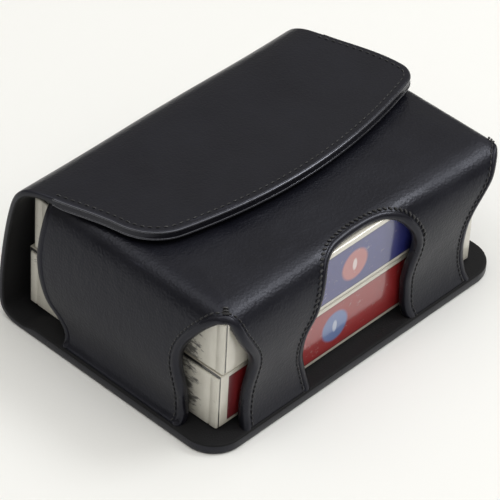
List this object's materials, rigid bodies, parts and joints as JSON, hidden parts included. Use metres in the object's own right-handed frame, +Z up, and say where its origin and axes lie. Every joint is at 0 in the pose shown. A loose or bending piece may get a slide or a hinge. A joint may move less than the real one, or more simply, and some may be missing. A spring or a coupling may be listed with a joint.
{
  "type": "double deck playing card case",
  "caption": "Black leather flap case for boxed decks of playing cards, with arched windows at the front and both front corners, lying on its back panel.",
  "frame": {"origin": "centre of the footprint, on the surface that the case lies on", "axes": "+X along the long side, +Y from the windowed front towards the folded spine, +Z up out of the back panel"},
  "size_m": [0.103, 0.0737, 0.0432],
  "materials": {
    "black_leather": "satin",
    "edge_leather": "satin",
    "lining": "matte",
    "board": "matte",
    "thread": "satin",
    "steel": "satin",
    "magnet": "satin",
    "box_white": "satin",
    "blue_box": "satin",
    "red_box": "satin",
    "cards": "satin"
  },
  "bodies": {
    "case": {"base_leather": "black_leather", "base_stiffener": "board", "base_lining": "lining", "base_stitching": "thread", "pocket_leather": "black_leather", "pocket_lining": "lining", "strike_plates": "steel", "front_window_binding": "edge_leather", "left_corner_binding": "edge_leather", "right_corner_binding": "edge_leather", "front_window_stitching": "thread", "corner_window_stitching": "thread", "lower_tuck_box": "red_box", "lower_tuck_flap": "box_white", "lower_cards": "cards", "upper_tuck_box": "blue_box", "upper_tuck_flap": "box_white", "upper_cards": "cards"},
    "rear_wall": {"rear_wall_leather": "black_leather", "rear_wall_lining": "lining"},
    "flap": {"flap_leather": "black_leather", "flap_stiffener": "board", "flap_lining": "lining", "flap_magnets": "magnet", "flap_stitching": "thread"}
  },
  "joints": [
    {"name": "rear_wall_fold", "type": "hinge", "parent": "case", "child": "rear_wall", "pos_m": [0, 0.03529, 0.00323], "axis": [-1, 0, 0], "range_deg": [0, 85]},
    {"name": "flap_fold", "type": "hinge", "parent": "rear_wall", "child": "flap", "pos_m": [0, 0.03211, 0.04032], "axis": [-1, 0, 0], "range_deg": [0, 95]}
  ]
}
